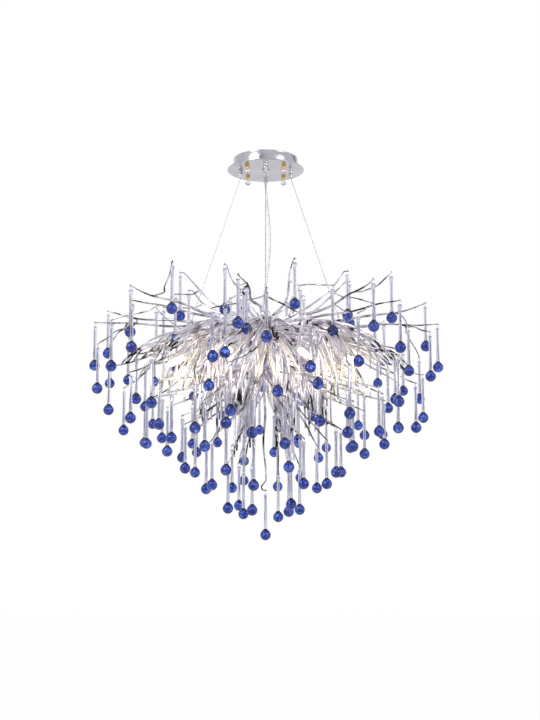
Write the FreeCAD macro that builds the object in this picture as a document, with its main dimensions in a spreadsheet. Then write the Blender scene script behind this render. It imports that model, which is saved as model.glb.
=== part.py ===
import FreeCAD, Part
import math
import os
import random
import Sketcher
from FreeCAD import Rotation, Vector

# Round branch chandelier with glass icicle drops, hung under a mirror canopy by four steel cables.
# Millimetres. Origin on the ceiling at the centre of the ceiling plate, +Z up, front towards -Y.
# Heights of the frame and its twigs are measured from the frame level, where the arms lie.

doc = FreeCAD.newDocument("BranchChandelier")
sheet = doc.addObject("Spreadsheet::Sheet", "Sizes")

SIZES = [
    ("bracketLength", 134, "length of each bar of the cross bracket screwed to the ceiling"),
    ("bracketWidth", 26, "width of the bracket's bars"),
    ("bracketThick", 2, "thickness of the bracket"),
    ("screwCircle", 36, "distance of the four ceiling screws from the centre"),
    ("screwHoleRadius", 2.5, "radius of each ceiling screw hole"),
    ("mainsHoleRadius", 10, "radius of the hole for the mains cable"),
    ("drumRadius", 74, "outer radius of the canopy drum"),
    ("drumHeight", 25, "height of the canopy drum"),
    ("drumWall", 1.2, "sheet thickness of the drum"),
    ("discRadius", 88, "radius of the wide mirror disc"),
    ("discThick", 2, "thickness of the mirror disc"),
    ("studCircle", 59, "distance of the studs from the centre"),
    ("studRadius", 2, "radius of each stud"),
    ("studGap", 0.15, "clearance round a stud in its holes"),
    ("nutRadius", 5.2, "corner radius of each brass nut"),
    ("nutHeight", 10, "height of each brass nut"),
    ("crystalRadius", 6.5, "radius of each crystal ball"),
    ("gripperCircle", 58, "distance of the cable grippers from the centre"),
    ("gripperNeck", 3, "radius of the gripper's neck in the disc"),
    ("gripperRadius", 5, "radius of the gripper's body"),
    ("gripperLength", 16, "length of the gripper below the disc"),
    ("cableRadius", 0.75, "radius of each steel cable"),
    ("cableGap", 0.15, "clearance round a cable in its bore"),
    ("cordRadius", 2.5, "radius of the power cord"),
    ("gripFlange", 9, "radius of the cord grip's flange"),
    ("gripLength", 14, "length of the cord grip below the disc"),
    ("frameDepth", 390, "distance from the ceiling down to the frame level"),
    ("hubRadius", 24, "radius of the hub"),
    ("hubHeight", 26, "height of the hub"),
    ("armRadius", 4, "half width of each frame arm"),
    ("cableReach", 168, "distance of the cable eyes from the centre"),
    ("knotReach", 130, "distance of the knots from the centre"),
    ("knotRadius", 13, "radius of each knot"),
    ("eyeRadius", 5, "centre-line radius of the eyes and ferrule loops"),
    ("eyeWire", 1, "half width of the wire in the eyes and loops"),
    ("ferruleLength", 13, "length of each crimped ferrule"),
    ("ferruleRadius", 2.3, "radius of each crimped ferrule"),
    ("stemRadius", 8, "radius of the stem below the hub"),
    ("stemLength", 98, "length of the stem below the hub"),
    ("collarRadius", 17, "radius of the collars on the stem"),
    ("collarHeight", 14, "height of each collar"),
    ("lampReach", 196, "distance of the lampholders' mouths from the centre"),
    ("lampDrop", 86, "distance of the lampholders' mouths below the frame level"),
    ("holderRadius", 8, "radius of each lampholder"),
    ("holderLength", 22, "length of each lampholder"),
    ("lampRadius", 7, "radius of each lamp"),
    ("lampLength", 40, "length of each lamp"),
    ("twigRoot", 4.2, "half width of a twig where it leaves the frame"),
    ("twigTip", 1.3, "half width of a twig at its end"),
    ("pegLength", 9, "length of the level end of a twig that a drop hangs on"),
    ("hookRadius", 3.4, "centre-line radius of a drop's wire ring"),
    ("hookWire", 0.7, "half width of the wire in that ring"),
    ("seatGap", 0.3, "gap between a hung piece and what carries it"),
    ("dropLength", 110, "length of a glass drop"),
    ("dropStem", 3.5, "radius of a drop's clear stem"),
    ("ballRadius", 11.8, "radius of a drop's blue end"),
    ("ballHeight", 25, "height of a drop's blue end"),
    ("crownReach", 202, "distance of the crown's outer twig ends from the centre"),
    ("crownRise", 108, "height of the crown's outer twig ends"),
    ("crownForkOut", 40, "how much further out the crown's forks end"),
    ("crownForkDown", 64, "how much lower the crown's forks end"),
    ("heartDown", 30, "how much lower than the crown's the twigs in its middle end"),
    ("upperReach", 366, "distance of the upper twig ends from the centre"),
    ("upperRise", 42, "height of the upper twig ends"),
    ("upperForkIn", 36, "how much further in the raised upper forks end"),
    ("upperForkUp", 44, "how much higher they end"),
    ("upperForkDown", 62, "how much lower the other upper forks end"),
    ("rimReach", 390, "distance of the rim's twig ends from the centre"),
    ("rimGap", 68, "distance between the rim's twig ends and the upper forks under them"),
    ("rimForkIn", 18, "how much further in the rim's forks end"),
    ("rimForkDown", 28, "how much lower they end"),
    ("rimLowForkIn", 14, "how much further in the rim's low forks end"),
    ("rimLowForkDown", 58, "how much lower they end"),
    ("shoulderReach", 352, "distance of the shoulder's twig ends from the centre"),
    ("shoulderDrop", 104, "distance of the shoulder's twig ends below the frame level"),
    ("shoulderForkIn", 18, "how much further in the shoulder's forks end"),
    ("shoulderForkDown", 34, "how much lower they end"),
    ("shoulderLowForkIn", 30, "how much further in the shoulder's low forks end"),
    ("shoulderLowForkDown", 54, "how much lower they end"),
    ("innerReach", 300, "distance of the inner twig ends from the centre"),
    ("innerDrop", 80, "distance of the inner twig ends below the frame level"),
    ("innerForkIn", 44, "how much further in the second inner forks end"),
    ("innerForkDown", 64, "how much lower they end"),
    ("middleReach", 262, "distance of the middle twig ends from the centre"),
    ("middleDrop", 172, "distance of the middle twig ends below the frame level"),
    ("middleForkIn", 38, "how much further in the middle forks end"),
    ("middleForkDown", 16, "how much lower they end"),
    ("lowerReach", 178, "distance of the lower twig ends from the centre"),
    ("lowerDrop", 234, "distance of the lower twig ends below the frame level"),
    ("lowerForkIn", 42, "how much further in the lower and bottom forks end"),
    ("lowerForkDown", 32, "how much lower the lower forks end"),
    ("bottomReach", 100, "distance of the bottom twig ends from the centre"),
    ("bottomDrop", 310, "distance of the bottom twig ends below the frame level"),
    ("bottomForkDown", 14, "how much lower the bottom forks end"),
    ("centreDrop", 372, "distance of the centre twig's end below the frame level"),
    ("reachStray", 7, "how far the twig ends stray in and out from their place"),
    ("heightStray", 8, "how far they stray up and down"),
]

for row, (alias, number, meaning) in enumerate(SIZES, start=1):
    sheet.set(f"A{row}", meaning)
    sheet.set(f"B{row}", str(number))
    sheet.setAlias(f"B{row}", alias)
doc.recompute()


def size(alias):
    """The number in the cell with this alias."""
    return float(getattr(sheet, alias))


nodes = {}
HINGES = {}
UP = Vector(0, 0, 1)
SECTORS = 8
SECTOR = 360 / SECTORS
FRAME_Z = -size("frameDepth")
DISC_TOP = -size("drumHeight")
DISC_BOTTOM = DISC_TOP - size("discThick")
RIM_FACETS = 48


# ---- Helpers for pieces made from primitives and sketches -----------------------------------------

def bind(piece, **expressions):
    """Tie properties of a piece to the sheet; x, y and z stand for its place."""
    for name, expression in expressions.items():
        target = f"Placement.Base.{name}" if name in "xyz" else name
        piece.setExpression(target, expression)
    return piece


def cylinder(name, radius, height, z, x="0", y="0"):
    piece = doc.addObject("Part::Cylinder", name)
    return bind(piece, Radius=radius, Height=height, x=x, y=y, z=z)


def prism(name, facets, radius, height, z, x="0", y="0"):
    """An upright prism with this many sides."""
    piece = doc.addObject("Part::Prism", name)
    piece.Polygon = facets
    return bind(piece, Circumradius=radius, Height=height, x=x, y=y, z=z)


def drilled(node, blank, holes):
    """The blank with holes cut in it, as the node's own object."""
    tool = doc.addObject("Part::Compound", node + "_holes")
    tool.Links = holes
    piece = doc.addObject("Part::Cut", node)
    piece.Base = blank
    piece.Tool = tool
    nodes[node] = piece
    return piece


def padded(name, corners, height):
    """A body padded upwards from a closed outline; corners holds (x, y) expressions."""
    body = doc.addObject("PartDesign::Body", name)
    sketch = body.newObject("Sketcher::SketchObject", name + "_outline")
    plane = next(item for item in body.Origin.OriginFeatures if item.Role == "XY_Plane")
    sketch.AttachmentSupport = (plane, "")
    sketch.MapMode = "FlatFace"
    places = [Vector(float(body.evalExpression(x)), float(body.evalExpression(y)), 0) for x, y in corners]
    count = len(places)
    for i in range(count):
        sketch.addGeometry(Part.LineSegment(places[i], places[(i + 1) % count]))
    for i in range(count):
        sketch.addConstraint(Sketcher.Constraint("Coincident", i, 2, (i + 1) % count, 1))
    for i, (x, y) in enumerate(corners):
        for kind, expression, value in (("DistanceX", x, places[i].x), ("DistanceY", y, places[i].y)):
            number = sketch.addConstraint(Sketcher.Constraint(kind, -1, 1, i, 1, value))
            sketch.setExpression(f"Constraints[{number}]", expression)
    pad = body.newObject("PartDesign::Pad", name + "_pad")
    pad.Profile = sketch
    pad.setExpression("Length", height)
    return body


# ---- Helpers for flat-sided pieces ----------------------------------------------------------------

def around(radius, azimuth, height):
    """The point at this distance from the axis, azimuth in degrees and height."""
    angle = math.radians(azimuth)
    return Vector(radius * math.cos(angle), radius * math.sin(angle), height)


def flat_face(points):
    return Part.Face(Part.makePolygon(list(points) + [points[0]]))


def is_flat(points):
    normal = (points[1] - points[0]).cross(points[2] - points[0])
    return abs((points[3] - points[0]).dot(normal)) < 1e-6 * normal.Length


def lofted(rings):
    """A closed flat-sided solid through rings that have the same number of corners."""
    faces = [flat_face(rings[0]), flat_face(rings[-1])]
    for low, high in zip(rings, rings[1:]):
        for i in range(len(low)):
            j = (i + 1) % len(low)
            corners = [low[i], low[j], high[j], high[i]]
            if is_flat(corners):
                faces.append(flat_face(corners))
            else:
                faces.append(flat_face(corners[:3]))
                faces.append(flat_face([corners[0], corners[2], corners[3]]))
    shell = Part.Shell(faces)
    solid = Part.Solid(shell)
    if solid.Volume < 0:
        solid.reverse()
    return solid


def section(centre, along, half_width, sides, side_way):
    """Corners of a regular section across a direction; the first corner points side_way."""
    first = side_way - along * side_way.dot(along)
    first.normalize()
    second = along.cross(first)
    return [centre
            + first * (half_width * math.cos(2 * math.pi * i / sides))
            + second * (half_width * math.sin(2 * math.pi * i / sides)) for i in range(sides)]


def rod(points, half_widths, side_way, sides=4):
    """A tapered rod along a line of points, with a regular section."""
    ways = []
    for i in range(len(points)):
        before = points[i] - points[i - 1] if i else points[1] - points[0]
        after = points[i + 1] - points[i] if i + 1 < len(points) else before
        way = before.normalize() + Vector(after).normalize()
        ways.append(way.normalize())
    return lofted([section(point, way, half, sides, side_way)
                   for point, way, half in zip(points, ways, half_widths)])


def spindle(profile, sides, centre=Vector(0, 0, 0), along=UP, side_way=Vector(1, 0, 0)):
    """A flat-sided turned form: profile holds (radius, distance along the axis)."""
    return lofted([section(centre + along * distance, along, radius, sides, side_way)
                   for radius, distance in profile])


def wire_ring(centre, normal, ring_radius, wire_radius, segments):
    """A closed ring of square wire with straight segments."""
    across = UP if abs(normal.z) < 0.9 else Vector(1, 0, 0)
    first = across.cross(normal).normalize()
    second = normal.cross(first).normalize()
    rings = []
    for i in range(segments):
        angle = 2 * math.pi * (i + 0.5) / segments
        outward = first * math.cos(angle) + second * math.sin(angle)
        middle = centre + outward * ring_radius
        rings.append([middle + outward * wire_radius, middle + normal * wire_radius,
                      middle - outward * wire_radius, middle - normal * wire_radius])
    rings.append(rings[0])
    faces = []
    for low, high in zip(rings, rings[1:]):
        for i in range(4):
            j = (i + 1) % 4
            faces.append(flat_face([low[i], low[j], high[j], high[i]]))
    solid = Part.Solid(Part.Shell(faces))
    if solid.Volume < 0:
        solid.reverse()
    return solid


def flat_radius(ring_radius, segments):
    """Distance from a ring's centre to the middle of one of its straight segments."""
    return ring_radius * math.cos(math.pi / segments)


def group(node, solids):
    """A node that holds one solid or several alike."""
    piece = doc.addObject("Part::Feature", node)
    piece.Shape = solids[0] if len(solids) == 1 else Part.makeCompound(solids)
    nodes[node] = piece
    return piece


def without(solid, cutters):
    """The solid cut back to the pieces it is welded to."""
    for cutter in cutters:
        if solid.BoundBox.intersect(cutter.BoundBox):
            solid = solid.cut(cutter)
    return max(solid.Solids, key=lambda piece: piece.Volume).removeSplitter()


# ---- Canopy ---------------------------------------------------------------------------------------

def make_ceiling_bracket():
    """Steel cross bracket: two crossed bars, four screw holes and a hole for the mains cable."""
    end, side = "Sizes.bracketLength / 2", "Sizes.bracketWidth / 2"
    quarter_outline = [(end, f"-{side}"), (end, side), (side, side)]
    corners = []
    for _ in range(4):
        corners += quarter_outline
        quarter_outline = [(f"-({y})", x) for x, y in quarter_outline]
    cross = padded("bracket_cross", corners, "Sizes.bracketThick")
    cross.Placement.Rotation = Rotation(UP, 45)
    bind(cross, z="-Sizes.bracketThick")
    deep = "Sizes.bracketThick * 3"
    start = "-Sizes.bracketThick * 2"
    holes = [cylinder("mains_hole", "Sizes.mainsHoleRadius", deep, start)]
    for quarter in range(4):
        turn = 90 * quarter + 45
        holes.append(cylinder(f"screw_hole_{quarter + 1}", "Sizes.screwHoleRadius", deep, start,
                              x=f"Sizes.screwCircle * cos({turn})", y=f"Sizes.screwCircle * sin({turn})"))
    drilled("ceiling_bracket", cross, holes)


def make_studs_nuts_and_crystals():
    studs, nuts, crystals = [], [], []
    nut_bottom = DISC_BOTTOM - size("nutHeight")
    stud_end = DISC_BOTTOM - size("nutHeight") * 0.7
    stud_top = -size("bracketThick")
    bore = size("studRadius") + size("studGap")
    for quarter in range(4):
        foot = around(size("studCircle"), 45 + 90 * quarter, 0)
        studs.append(spindle([(size("studRadius"), stud_end), (size("studRadius"), stud_top)], 8, foot))
        nut = spindle([(size("nutRadius") * 0.6, nut_bottom),
                       (size("nutRadius"), nut_bottom + size("nutHeight") * 0.35),
                       (size("nutRadius"), DISC_BOTTOM)], 6, foot)
        nuts.append(nut.cut(spindle([(bore, stud_end - size("studGap")), (bore, 0)], 8, foot)))
        ball = size("crystalRadius")
        profile = [(ball * 0.4, -ball * 1.9), (ball, -ball * 1.25), (ball, -ball * 0.65), (ball * 0.4, 0)]
        crystals.append(spindle(profile, 6, foot + UP * nut_bottom))
    group("canopy_studs", studs)
    group("brass_nuts", nuts)
    group("crystal_finials", crystals)


def make_drum():
    """Open ring between ceiling and disc, with as many facets as the disc."""
    blank = prism("canopy_drum_blank", RIM_FACETS, "Sizes.drumRadius", "Sizes.drumHeight",
                  "-Sizes.drumHeight")
    hollow = prism("canopy_drum_hollow", RIM_FACETS, "Sizes.drumRadius - Sizes.drumWall",
                   "Sizes.drumHeight * 2", "-Sizes.drumHeight * 1.5")
    drilled("canopy_drum", blank, [hollow])


def make_disc():
    """Flat disc with a finely faceted rim, and holes for the studs, grippers and cord grip."""
    blank = prism("mirror_disc_blank", RIM_FACETS, "Sizes.discRadius", "Sizes.discThick",
                  "-Sizes.drumHeight - Sizes.discThick")
    deep = "Sizes.discThick * 3"
    start = "-Sizes.drumHeight - Sizes.discThick * 2"
    holes = [prism("cord_grip_hole", 10, "Sizes.cordRadius * 2 + Sizes.studGap * 2", deep, start)]
    for quarter in range(4):
        turn = 90 * quarter
        for name, radius, circle, azimuth in (
                ("stud", "Sizes.studRadius + Sizes.studGap", "Sizes.studCircle", turn + 45),
                ("gripper", "Sizes.gripperNeck + Sizes.studGap", "Sizes.gripperCircle", turn)):
            holes.append(prism(f"{name}_hole_{quarter + 1}", 8, radius, deep, start,
                               x=f"{circle} * cos({azimuth})", y=f"{circle} * sin({azimuth})"))
    drilled("mirror_disc", blank, holes)


def make_cord_grip():
    """White grip through the disc: flange and tapered nose below, threaded neck above."""
    neck, flange, length = size("cordRadius") * 2, size("gripFlange"), size("gripLength")
    profile = [(flange * 0.5, -length), (flange * 0.75, -length * 0.4), (flange, -length * 0.2), (flange, 0),
               (neck, 0), (neck, size("discThick") + 6)]
    group("cord_grip", [spindle(profile, 10, UP * DISC_BOTTOM)])


def make_terminal_block():
    """Three-way terminal block under the ceiling plate, with a wire way through each pole."""
    block = doc.addObject("Part::Box", "terminal_block_blank")
    bind(block, Length="Sizes.drumRadius * 0.2", Width="Sizes.drumRadius * 0.42",
         Height="Sizes.drumHeight * 0.5", x="Sizes.drumRadius * 0.3", y="-Sizes.drumRadius * 0.21",
         z="-Sizes.bracketThick - Sizes.drumHeight * 0.5")
    ways = []
    for pole in (-1, 0, 1):
        way = prism(f"wire_way_{pole + 2}", 6, "Sizes.drumRadius * 0.03", "Sizes.drumRadius * 0.4",
                    "-Sizes.bracketThick - Sizes.drumHeight * 0.25", x="Sizes.drumRadius * 0.2",
                    y=f"Sizes.drumRadius * 0.14 * {pole}")
        way.Placement.Rotation = Rotation(Vector(0, 1, 0), 90)
        ways.append(way)
    drilled("terminal_block", block, ways)


# ---- Cables and cord ------------------------------------------------------------------------------

TUBE_SIDES = 6
LOOP_SEGMENTS = 6


def tube(route, radius, bends=None):
    """A flat-sided tube along straight runs joined by tangent arcs."""
    route = [Vector(point) for point in route]
    edges, radii = [], []
    start = route[0]
    for i in range(1, len(route) - 1):
        before, after = route[i] - route[i - 1], route[i + 1] - route[i]
        half_turn = before.getAngle(after) / 2
        bend = bends or 0.45 * min(before.Length, after.Length) / math.tan(half_turn)
        reach = bend * math.tan(half_turn)
        into = route[i] - Vector(before).normalize() * reach
        out = route[i] + Vector(after).normalize() * reach
        inward = (Vector(after).normalize() - Vector(before).normalize()).normalize()
        middle = route[i] + inward * (bend / math.cos(half_turn) - bend)
        edges += [Part.LineSegment(start, into).toShape(), Part.Arc(into, middle, out).toShape()]
        radii.append(bend)
        start = out
    edges.append(Part.LineSegment(start, route[-1]).toShape())
    path = Part.Wire(edges)
    way = (route[1] - route[0]).normalize()
    across = Vector(0, 1, 0).cross(way).normalize()
    corners = section(route[0], way, radius, TUBE_SIDES, across)
    outline = Part.makePolygon(corners + [corners[0]])
    solid = path.makePipeShell([outline], True, False)
    share = solid.Volume / (Part.Face(outline).Area * path.Length)
    print(f"tube: length {path.Length:.1f}, volume share {share:.4f}, bends", [round(r) for r in radii])
    return solid


CORD_ROUTE = [(0, 0, DISC_BOTTOM - size("gripLength")), (0, 0, -78), (6.5, 1, -127), (10.5, 1.5, -181),
              (8.5, 0.5, -234), (2.5, -0.5, -283), (-4, 0, -324), (-8, 0, FRAME_Z + 26)]


def make_power_cord():
    group("power_cord", [tube(CORD_ROUTE, size("cordRadius"))])


def cord_gland():
    """Gland on the hub's top that takes the end of the power cord; it leans as the cord does."""
    end = Vector(CORD_ROUTE[-1])
    along = (Vector(CORD_ROUTE[-2]) - end).normalize()
    cord = size("cordRadius")
    body = spindle([(cord * 2.4, -26), (cord * 2.4, -7), (cord * 1.5, 0)], 8, end, along)
    top_of_hub = spindle([(size("hubRadius") * 2, -size("hubHeight")), (size("hubRadius") * 2, 0)], 4,
                         Vector(0, 0, FRAME_Z + size("hubHeight") / 2))
    return body.cut(top_of_hub)


def cable_place(azimuth):
    """Gripper mouth, eye centre, and the unit vector from the eye up the cable."""
    mouth = around(size("gripperCircle"), azimuth, DISC_BOTTOM - size("gripperLength"))
    eye_height = FRAME_Z + size("armRadius") * 0.8 + size("eyeRadius")
    eye = around(size("cableReach"), azimuth, eye_height)
    return mouth, eye, (mouth - eye).normalize()


def make_cables():
    names = ["cable_right", "cable_back", "cable_left", "cable_front"]
    ferrules, eyes, grippers = [], [], []
    cable, gap = size("cableRadius"), size("cableGap")
    ring, wire = size("eyeRadius"), size("eyeWire")
    for quarter, name in enumerate(names):
        azimuth = 90 * quarter
        mouth, eye, up_cable = cable_place(azimuth)
        across = around(1, azimuth + 90, 0)
        inside = UP * (size("gripperLength") * 0.6)

        body = size("gripperRadius")
        length = size("gripperLength")
        gripper = spindle([(body * 0.55, 0), (body, length * 0.3), (body, length),
                           (size("gripperNeck"), length), (size("gripperNeck"), length + 7)], 8, mouth)
        bore = spindle([(cable + gap, -1), (cable + gap, inside.z + gap)], 6, mouth)
        grippers.append(gripper.cut(bore))

        eyes.append(wire_ring(eye, across, ring, wire, LOOP_SEGMENTS))

        flat = flat_radius(ring, LOOP_SEGMENTS)
        lift = flat - 2 * wire - size("seatGap")
        loop = eye + UP * lift + up_cable * flat
        loop_ring = wire_ring(loop, up_cable.cross(across), ring, wire, LOOP_SEGMENTS)
        foot = loop + up_cable * (flat - wire)
        sleeve = spindle([(size("ferruleRadius"), 0), (size("ferruleRadius"), size("ferruleLength"))], 6,
                         foot, up_cable, across)
        end = foot + up_cable * (size("ferruleLength") * 0.3)
        hole = spindle([(cable + gap, 0), (cable + gap, size("ferruleLength"))], 6, end, up_cable, across)
        ferrules.append(loop_ring.fuse(sleeve).cut(hole))

        below = mouth - UP * 2
        group(name, [tube([mouth + inside, below, end], cable, bends=size("gripperRadius") * 2)])
    group("cable_grippers", grippers)
    group("cable_ferrules", ferrules)
    return eyes


# ---- Frame ----------------------------------------------------------------------------------------

def make_hub():
    """Sixteen-sided hub that the arms, twigs and cord gland are welded to, narrower at both ends."""
    radius, half = size("hubRadius"), size("hubHeight") / 2
    profile = [(radius * 0.6, -half), (radius, -half * 0.5), (radius, half * 0.6), (radius * 0.85, half)]
    hub = spindle(profile, 16, UP * FRAME_Z, UP, around(1, 180 / 16, 0))
    group("hub", [hub])
    return hub


def frame_arms():
    arms = []
    for sector in range(SECTORS):
        azimuth = sector * SECTOR
        reach = size("cableReach") + size("eyeRadius") if sector % 2 == 0 else size("knotReach")
        ends = [around(flat_radius(size("hubRadius"), 16), azimuth, FRAME_Z), around(reach, azimuth, FRAME_Z)]
        half = size("armRadius")
        arms.append(rod(ends, [half, half * 0.8], UP, sides=6))
    return arms


def knots(arms):
    """Lumps where arm and twigs meet, each cut to the arm that it sits on."""
    ball = size("knotRadius")
    profile = [(ball * 0.55, -ball * 0.9), (ball, 0), (ball * 0.55, ball * 0.9)]
    lumps = []
    for sector, arm in enumerate(arms):
        centre = around(size("knotReach"), sector * SECTOR, FRAME_Z)
        lump = spindle(profile, 6, centre, UP, around(1, sector * SECTOR + 30, 0))
        lumps.append(lump.cut(arm))
    return lumps


def make_stem():
    """Stem under the hub with two collars that the lower twigs are welded to."""
    hub_bottom = FRAME_Z - size("hubHeight") / 2
    stem = spindle([(size("stemRadius"), -size("stemLength")), (size("stemRadius"), 0)], 8,
                   Vector(0, 0, hub_bottom))
    radius, height = size("collarRadius"), size("collarHeight")
    collars = []
    for level in (hub_bottom - size("stemLength") * 0.5, hub_bottom - size("stemLength") + height):
        profile = [(radius * 0.8, -height), (radius, -height * 0.6), (radius * 0.8, 0)]
        collar = spindle(profile, 8, Vector(0, 0, level))
        collars.append(collar.cut(stem))
    group("hub_stem", [stem])
    group("stem_collars", collars)
    return [stem] + collars


def make_lamps(welds):
    arms, holders, lamps = [], [], []
    for sector in range(SECTORS):
        azimuth = (sector + 0.5) * SECTOR
        mouth = around(size("lampReach"), azimuth, FRAME_Z - size("lampDrop"))
        side = around(1, azimuth + 90, 0)
        root = around(size("hubRadius") * 0.5, azimuth, FRAME_Z - size("hubHeight") * 0.2)
        elbow = around(size("lampReach") * 0.45, azimuth, FRAME_Z - size("lampDrop") * 0.35)
        along = (mouth - elbow).normalize()
        back = mouth - along * size("holderLength")
        half = size("armRadius") * 0.75
        arm = rod([root, elbow, back], [half, half, half], side, sides=6)
        arms.append(without(arm, welds))
        holder = spindle([(half * 1.3, 0), (size("holderRadius"), size("holderLength") * 0.3),
                          (size("holderRadius"), size("holderLength"))], 6, back, along, side)
        holders.append(holder)
        glass = size("lampRadius")
        length = size("lampLength")
        lamps.append(spindle([(glass * 0.75, 0), (glass, length * 0.2), (glass, length * 0.8),
                              (glass * 0.4, length)], 6, mouth, along, side))
    group("lamp_arms", arms)
    group("lampholders", holders)
    group("lamps", lamps)


# ---- Twigs and drops ------------------------------------------------------------------------------

def spread(name, amount):
    """A small fixed irregularity for the twig of this name."""
    return random.Random(name).uniform(-amount, amount)


class Tip:
    """Where a twig ends: turn from the twig's azimuth, distance from the axis, height over the frame.

    It is on all the tier's twigs, or on every second one from number first. The first one swings or not.
    """

    def __init__(self, turn, reach, rise, every=1, first=0, swing_every=0):
        self.turn = turn
        self.reach = reach
        self.rise = rise
        self.every = every
        self.first = first
        self.swing_every = swing_every

    def grows(self, index):
        return index % self.every == self.first

    def swings(self, index):
        return self.swing_every > 0 and index % self.swing_every == 0


class Tier:
    """Twigs alike: their number, first azimuth, root (distance, height, turn) and the bend of the curve.

    Forks leave the main shoot at the point of its path with the number fork, or before it.
    """

    def __init__(self, name, count, first, root, bend, tips, share=1.0, family=None, fork=1):
        self.name = name
        self.family = family or name
        self.count = count
        self.first = first
        self.root = root
        self.bend = bend
        self.tips = tips
        self.share = share
        self.fork = fork


def tiers():
    knot = size("knotReach")
    hub = size("hubRadius") * 0.5
    collar = size("collarRadius") * 0.5
    high_collar = -size("hubHeight") / 2 - size("stemLength") * 0.5 - size("collarHeight") / 2
    low_collar = -size("hubHeight") / 2 - size("stemLength") + size("collarHeight") / 2
    crown, rise = size("crownReach"), size("crownRise")
    upper, high = size("upperReach"), size("upperRise")
    rim = size("rimReach")
    shoulder, low = size("shoulderReach"), -size("shoulderDrop")
    inner, sunk = size("innerReach"), -size("innerDrop")
    middle, middle_low = size("middleReach"), -size("middleDrop")
    lower, lower_low = size("lowerReach"), -size("lowerDrop")
    bottom, bottom_low = size("bottomReach"), -size("bottomDrop")
    return [
        Tier("crown", SECTORS, SECTOR / 2, (hub, 2, 0), (0.62, 0.20),
             [Tip(-5, crown, rise, swing_every=1),
              Tip(14, crown + size("crownForkOut"), rise - size("crownForkDown"))], fork=2),
        Tier("heart", 4, SECTOR * 1.25, (hub * 1.5, 6, 0), (0.35, 0.25),
             [Tip(0, crown * 0.46, rise - size("heartDown"))], share=0.8, family="crown"),
        Tier("upper", SECTORS, 0, (knot, 7, -3.5), (0.55, 0.10),
             [Tip(-7, upper, high),
              Tip(-15, rim - size("rimGap"), high - size("upperForkDown"), every=2, first=0),
              Tip(9, upper - size("upperForkIn"), high + size("upperForkUp"), every=2, first=1)], fork=2),
        Tier("rim", SECTORS, 0, (knot, -2, 0), (0.5, 0.35),
             [Tip(0, rim, 0, swing_every=1), Tip(-15, rim - size("rimForkIn"), -size("rimForkDown")),
              Tip(15, rim - size("rimLowForkIn"), -size("rimLowForkDown"), every=2, first=0)],
             share=0.85, fork=2),
        Tier("shoulder", SECTORS, 0, (knot, -7, 2), (0.45, 0.65),
             [Tip(4, shoulder, low, swing_every=2),
              Tip(-13, shoulder - size("shoulderForkIn"), low - size("shoulderForkDown")),
              Tip(17, shoulder - size("shoulderLowForkIn"), low - size("shoulderLowForkDown"), every=2,
                  first=1),
              Tip(21.5, inner, sunk)]),
        Tier("middle", SECTORS, 0, (collar, high_collar, 0), (0.42, 0.62),
             [Tip(-5, middle, middle_low),
              Tip(12, middle - size("middleForkIn"), middle_low - size("middleForkDown")),
              Tip(27.5, inner - size("innerForkIn"), sunk - size("innerForkDown"))]),
        Tier("lower", SECTORS, SECTOR / 2, (collar, low_collar + 3, 0), (0.45, 0.60),
             [Tip(-6, lower, lower_low),
              Tip(12, lower - size("lowerForkIn"), lower_low - size("lowerForkDown"))]),
        Tier("bottom", 4, SECTOR, (collar, low_collar - 5, 0), (0.35, 0.40),
             [Tip(-8, bottom, bottom_low),
              Tip(14, bottom - size("lowerForkIn"), bottom_low - size("bottomForkDown"))], share=0.8),
    ]


PATH_STEPS = 3
FORK_SHARE = 0.82
TURN_STRAY = 1.5
TWIG_SIDES = 3
DROP_SIDES = 5
HOOK_SEGMENTS = 5


def twig_path(root, bend, tip, steps=PATH_STEPS):
    """Points of a curve in distance, azimuth and height, ending in a short level peg."""
    (r0, a0, z0), (r2, a2, z2) = root, tip
    r2_peg = r2 - size("pegLength")
    r1, z1 = r0 + (r2_peg - r0) * bend[0], z0 + (z2 - z0) * bend[1]
    points = []
    for step in range(steps + 1):
        along = step / steps
        back = 1 - along
        radius = back * back * r0 + 2 * back * along * r1 + along * along * r2_peg
        height = back * back * z0 + 2 * back * along * z1 + along * along * z2
        points.append((radius, a0 + (a2 - a0) * along, height))
    points.append((r2 + size("pegLength") * 0.3, a2, z2))
    return points


def leaving_point(main, last, end):
    """Number of the point where a fork leaves the main shoot: further in than the fork's own peg."""
    room = end[0] - 2 * size("pegLength")
    return max([point for point in range(1, last + 1) if main[point][0] < room], default=1)


def twig(tier, index):
    """One welded twig with its forks, and the drop places that it carries."""
    azimuth = tier.first + index * 360 / tier.count
    root = (tier.root[0], azimuth + tier.root[2], FRAME_Z + tier.root[1])
    side = around(1, azimuth + 90, 0)
    shoots, places = [], []
    main = None
    for number, tip in enumerate(tier.tips):
        if not tip.grows(index):
            continue
        key = f"{tier.name} {index} {number}"
        end = (tip.reach + spread(key + " reach", size("reachStray")),
               azimuth + tip.turn + spread(key + " turn", TURN_STRAY),
               FRAME_Z + tip.rise + spread(key + " rise", size("heightStray")))
        last = size("twigTip")
        if main is None:
            path = twig_path(root, tier.bend, end)
            main = path
            root_half = first_half = size("twigRoot") * tier.share
        else:
            leaves = leaving_point(main, tier.fork, end)
            path = twig_path(main[leaves], tier.bend, end, PATH_STEPS - leaves)
            first_half = (root_half + (last - root_half) * leaves / PATH_STEPS) * FORK_SHARE
        count = len(path) - 2
        halves = [first_half + (last - first_half) * i / count for i in range(count + 1)] + [last]
        shoots.append(rod([around(*point) for point in path], halves, side, TWIG_SIDES))
        places.append((tip, end))
    solid = shoots[0]
    for shoot in shoots[1:]:
        solid = solid.fuse(shoot)
    return solid, places


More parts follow.
